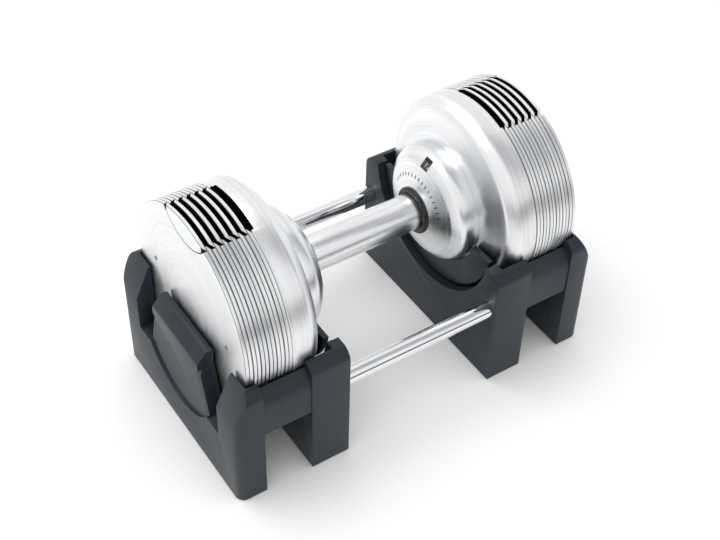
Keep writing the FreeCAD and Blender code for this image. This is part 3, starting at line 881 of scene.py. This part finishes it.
@dataclass
class Head:
    """One head's housing, domed hub, dial window and bearing collar."""

    side: Side
    graduations: int = 17
    graduation_span: float = 140.0
    graduation_radius: float = 0.0318
    graduation_place: float = 0.05758
    graduation_size: tuple[float, float, float] = (0.0002, 0.0009, 0.0030)
    hub_rise: float = 5.5
    hub_run: float = 13.5
    cap_edge: float = 0.0005
    small_edge: float = 0.0004

    def build(self) -> None:
        """Make the head's own pieces."""
        word = self.side.word
        body = "handle_frame"
        Refined("head_cap_" + word, HOUSING_STEEL, body, edge=self.cap_edge).build()
        Refined("hub_" + word, HUB_STEEL, body, edge=self.small_edge).build()
        Refined("window_lens_" + word, LENS, body).build()
        Refined("grip_bush_" + word, BRONZE, body).build()
        Refined("collar_" + word, COLLAR_PLASTIC, body, edge=self.small_edge).build()
        Refined("core_flange_" + word, TOOL_STEEL, body).build()
        Refined("flange_screws_" + word, BLACK_OXIDE, body).build()
        Refined("detent_block_" + word, DETENT_PLASTIC, body).build()
        self.spring("detent")
        self.spring("lock")
        Refined("detent_plunger_" + word, TOOL_STEEL, "detent_" + word).build()
        Refined("lock_pin_" + word, TOOL_STEEL, "lock_" + word).build()
        Refined("selector_rod_" + word, TOOL_STEEL, "selector_" + word).build()
        Refined("follower_pin_" + word, TOOL_STEEL, "selector_" + word).build()
        self.scale_marks()

    def spring(self, part: str) -> bpy.types.Object:
        """A coil spring on the handle frame, with a mesh of its own.

        Args:
            part: the detent or the lock.

        Returns:
            The finished piece.
        """
        node = "%s_spring_%s" % (part, self.side.word)
        piece = Refined(node, SPRING_STEEL, "handle_frame").build()
        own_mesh(piece)
        return piece

    def scale_marks(self) -> bpy.types.Object:
        """Engraved graduations in an arc over the grip, instanced on the hub's sloping face.

        Returns:
            The finished piece.
        """
        depth, width, length = self.graduation_size
        pattern = Pattern(
            "graduations_" + self.side.word,
            Count=self.graduations,
            Radius=self.graduation_radius,
            Span=math.radians(self.graduation_span),
            Along=self.graduation_place * self.side.value,
            Length=length,
            Width=width,
            Depth=depth,
            Lean=math.atan2(self.hub_rise, self.hub_run) * self.side.value,
        )
        line = pattern.node("MeshLine", mode="OFFSET")
        pattern.link(pattern.given("Count"), line.inputs["Count"])
        index = pattern.node("InputIndex").outputs[0]
        steps = pattern.arithmetic("SUBTRACT", pattern.given("Count"), 1.0)
        share = pattern.arithmetic("DIVIDE", index, steps)
        from_middle = pattern.arithmetic("SUBTRACT", share, 0.5)
        turn = pattern.arithmetic("MULTIPLY", from_middle, pattern.given("Span"))
        radius = pattern.given("Radius")
        across = pattern.arithmetic("MULTIPLY", pattern.arithmetic("SINE", turn), radius)
        rise = pattern.arithmetic("MULTIPLY", pattern.arithmetic("COSINE", turn), radius)
        up = pattern.arithmetic("ADD", rise, AXIS_HEIGHT)
        moved = pattern.node("SetPosition")
        pattern.link(line.outputs[0], moved.inputs["Geometry"])
        pattern.link(pattern.vector(pattern.given("Along"), across, up), moved.inputs["Position"])
        bar = pattern.node("MeshCube")
        size = pattern.vector(pattern.given("Depth"), pattern.given("Width"), pattern.given("Length"))
        pattern.link(size, bar.inputs["Size"])
        placed = pattern.node("InstanceOnPoints")
        pattern.link(moved.outputs[0], placed.inputs["Points"])
        pattern.link(bar.outputs[0], placed.inputs["Instance"])
        fanned = pattern.vector(pattern.arithmetic("MULTIPLY", turn, -1.0), 0.0, 0.0)
        pattern.link(fanned, placed.inputs["Rotation"])
        leaning = pattern.node("RotateInstances")
        pattern.link(placed.outputs[0], leaning.inputs["Instances"])
        pattern.link(pattern.vector(0.0, pattern.given("Lean"), 0.0), leaning.inputs["Rotation"])
        pattern.close(leaning.outputs[0], MARK_INK)
        name = "graduations_" + self.side.word
        return new_piece(name, pattern.mesh(), MARK_INK, "handle_frame")


@dataclass
class Drive:
    """The grip with everything that turns with it, and the fixed core inside it."""

    numeral_size: float = 0.0078
    numeral_place: float = 0.0672
    numeral_reach: float = 0.0420
    numeral_lean: float = 46.0
    numeral_depth: float = 0.00005
    loads: tuple[int, ...] = (12, 14, 16, 18, 20, 23, 25)
    step: float = 40.0
    grip_edge: float = 0.0004

    def build(self) -> None:
        """Make the grip, the sleeve, the dials and the wheels."""
        Refined("grip_tube", GRIP_STEEL, "grip", edge=self.grip_edge).build()
        Refined("drive_sleeve", TOOL_STEEL, "grip").build()
        Refined("core_tube", TOOL_STEEL, "handle_frame").build()
        for side in Side:
            Refined("weight_dial_" + side.word, DIAL_PLASTIC, "grip").build()
            Refined("index_wheel_" + side.word, WHEEL_STEEL, "grip").build()
            self.numerals(side)

    def numerals(self, side: Side) -> bpy.types.Object:
        """The loads printed round one dial, one under the window at a time.

        Args:
            side: the end to number.

        Returns:
            The finished piece.
        """
        joined = bmesh.new()
        for index, load in enumerate(self.loads):
            mesh = self.numeral(load)
            mesh.transform(self.numeral_frame(side, index))
            joined.from_mesh(mesh)
            bpy.data.meshes.remove(mesh)
        mesh = bpy.data.meshes.new("numerals")
        bmesh.ops.remove_doubles(joined, verts=joined.verts, dist=NUMERAL_MERGE_GAP)
        bmesh.ops.recalc_face_normals(joined, faces=joined.faces)
        joined.to_mesh(mesh)
        joined.free()
        return new_piece("dial_numerals_" + side.word, mesh, DIAL_INK, "grip")

    def numeral(self, load: int) -> bpy.types.Mesh:
        """One numeral, flat at the origin.

        Args:
            load: the number it shows.

        Returns:
            Its mesh.
        """
        curve = bpy.data.curves.new("numeral", "FONT")
        curve.body = str(load)
        curve.size = self.numeral_size
        curve.align_x = "CENTER"
        curve.align_y = "CENTER"
        curve.extrude = self.numeral_depth
        holder = bpy.data.objects.new("numeral", curve)
        bpy.context.scene.collection.objects.link(holder)
        mesh = evaluated_mesh(holder)
        bpy.data.objects.remove(holder)
        return mesh

    def numeral_frame(self, side: Side, index: int) -> Matrix:
        """Where one numeral lies on the dial's cone.

        Args:
            side: the dial's end.
            index: the numeral's place in the sequence.

        Returns:
            The matrix from flat text to its place in the row frame.
        """
        lean = math.radians(self.numeral_lean)
        outward = Vector((-side.value * math.cos(lean), 0.0, math.sin(lean)))
        upward = Vector((side.value * math.sin(lean), 0.0, math.cos(lean)))
        rightward = upward.cross(outward)
        base = Matrix((rightward, upward, outward)).transposed().to_4x4()
        base.translation = Vector((side.value * self.numeral_place, 0.0, self.numeral_reach))
        turn = Matrix.Rotation(-math.radians(self.step) * index, 4, "X")
        return Matrix.Translation((0.0, 0.0, AXIS_HEIGHT)) @ turn @ base


@dataclass
class Stand:
    """The two moulded cradles, the rails between them, and their small parts."""

    edge: float = 0.0011
    edge_segments: int = 3
    foot_edge: float = 0.0005

    def build(self) -> None:
        """Make the stand."""
        for side in Side:
            name = "cradle_" + side.word
            moulding = Refined(name, STAND_PLASTIC, "stand", self.edge, self.edge_segments)
            moulding.build()
        for name in ("stand_rail_front", "stand_rail_rear"):
            Refined(name, RAIL_CHROME, "stand").build()
        Refined("rail_screws", BLACK_OXIDE, "stand").build()
        Refined("stand_feet", FOOT_RUBBER, "stand", edge=self.foot_edge).build()


# ------------------------------------------------------------------------- studio


@dataclass
class Card:
    """A plain card that the metal reflects. It is never seen itself."""

    name: str
    centre: tuple[float, float, float]
    size: tuple[float, float]
    facing: tuple[float, float, float]
    shade: float

    def build(self) -> bpy.types.Object:
        """Make the card.

        Returns:
            The card's object.
        """
        mesh = flat_sheet(self.name, *self.size)
        card = bpy.data.objects.new(self.name, mesh)
        bpy.context.scene.collection.objects.link(card)
        turn = Vector(self.facing).to_track_quat("Z", "X")
        card.matrix_world = Matrix.LocRotScale(Vector(self.centre), turn, None)
        material = bpy.data.materials.new(self.name)
        material.use_nodes = True
        tree = material.node_tree
        tree.nodes.clear()
        glow = tree.nodes.new("ShaderNodeEmission")
        glow.inputs["Color"].default_value = (self.shade, self.shade, self.shade * CARD_BLUE, 1.0)
        out = tree.nodes.new("ShaderNodeOutputMaterial")
        tree.links.new(glow.outputs[0], out.inputs[0])
        mesh.materials.append(material)
        card.visible_camera = False
        card.visible_diffuse = False
        card.visible_shadow = False
        card.visible_transmission = False
        return card


@dataclass
class Studio:
    """The pale floor, the soft white surroundings, the cards and the camera."""

    floor_size: float = 24.0
    floor_drift: float = 3.0
    floor_dark: tuple[float, float, float] = (0.955, 0.955, 0.955)
    floor_light: tuple[float, float, float] = (0.965, 0.965, 0.965)
    sky: float = 1.05
    lamp_place: tuple[float, float, float] = (-0.5, 0.5, 1.4)
    lamp_aim: tuple[float, float, float] = (0.0, 0.0, 0.1)
    lamp_power: float = 6.0
    lamp_size: float = 0.9
    camera_place: tuple[float, float, float] = (-0.4566, -0.6679, 0.8682)
    camera_aim: tuple[float, float, float] = (0.0, -0.002, 0.092)
    camera_lens: float = 66.0
    camera_roll: float = 1.7
    cards: list[Card] = field(default_factory=list)

    def build(self) -> None:
        """Make the whole studio."""
        self.floor()
        self.surroundings()
        self.lamp()
        for card in self.cards:
            card.build()
        self.camera()

    def floor(self) -> bpy.types.Object:
        """A plain pale floor."""
        mesh = flat_sheet("floor", self.floor_size, self.floor_size)
        shader = Shader("pale floor")
        drift = shader.noise(shader.place(), self.floor_drift, 2.0)
        colour = shader.tint(drift, self.floor_dark, self.floor_light)
        finish = shader.finish(Base_Color=colour, Roughness=0.9, Specular_IOR_Level=0.0)
        mesh.materials.append(finish)
        floor = bpy.data.objects.new("floor", mesh)
        bpy.context.scene.collection.objects.link(floor)
        return floor

    def surroundings(self) -> None:
        """White light from all round."""
        world = bpy.data.worlds.new("studio white")
        world.use_nodes = True
        back = world.node_tree.nodes["Background"]
        back.inputs["Color"].default_value = (1.0, 1.0, 1.0, 1.0)
        back.inputs["Strength"].default_value = self.sky
        bpy.context.scene.world = world
        bpy.context.scene.view_settings.view_transform = "Standard"

    def lamp(self) -> None:
        """One large soft lamp over the rear left, to give the shapes a side."""
        data = bpy.data.lights.new("key", "AREA")
        data.energy = self.lamp_power
        data.size = self.lamp_size
        lamp = bpy.data.objects.new("key", data)
        bpy.context.scene.collection.objects.link(lamp)
        lamp.matrix_world = self.looking(self.lamp_place, self.lamp_aim)

    def looking(self, place: Iterable[float], aim: Iterable[float]) -> Matrix:
        """The placing of a lamp or a camera that looks at a point.

        Args:
            place: where it stands.
            aim: where it looks.

        Returns:
            Its matrix.
        """
        start = Vector(place)
        return Matrix.LocRotScale(start, (Vector(aim) - start).to_track_quat("-Z", "Y"), None)

    def camera(self) -> bpy.types.Object:
        """The camera, level but for a slight roll."""
        data = bpy.data.cameras.new("camera")
        data.lens = self.camera_lens
        data.sensor_width = 36.0
        data.clip_start = 0.05
        data.clip_end = 60.0
        camera = bpy.data.objects.new("camera", data)
        bpy.context.scene.collection.objects.link(camera)
        roll = Matrix.Rotation(math.radians(self.camera_roll), 4, "Z")
        camera.matrix_world = self.looking(self.camera_place, self.camera_aim) @ roll
        bpy.context.scene.camera = camera
        return camera


CARDS = [
    Card("front flag", (0.6, -0.82, 0.12), (0.24, 2.9), (0.0, 1.0, 0.0), 0.22),
    Card("overhead grey", (0.7, -0.52, 1.55), (2.6, 0.9), (-0.4, 0.3, -0.86), 0.55),
]


def main() -> None:
    """Build the sub-assemblies in order, then the studio."""
    logging.basicConfig(level=logging.INFO, format="%(message)s")
    for side in Side:
        PlateStack(side).build()
        Head(side).build()
    Drive().build()
    Stand().build()
    Studio(cards=CARDS).build()


if __name__ == "__main__":
    main()
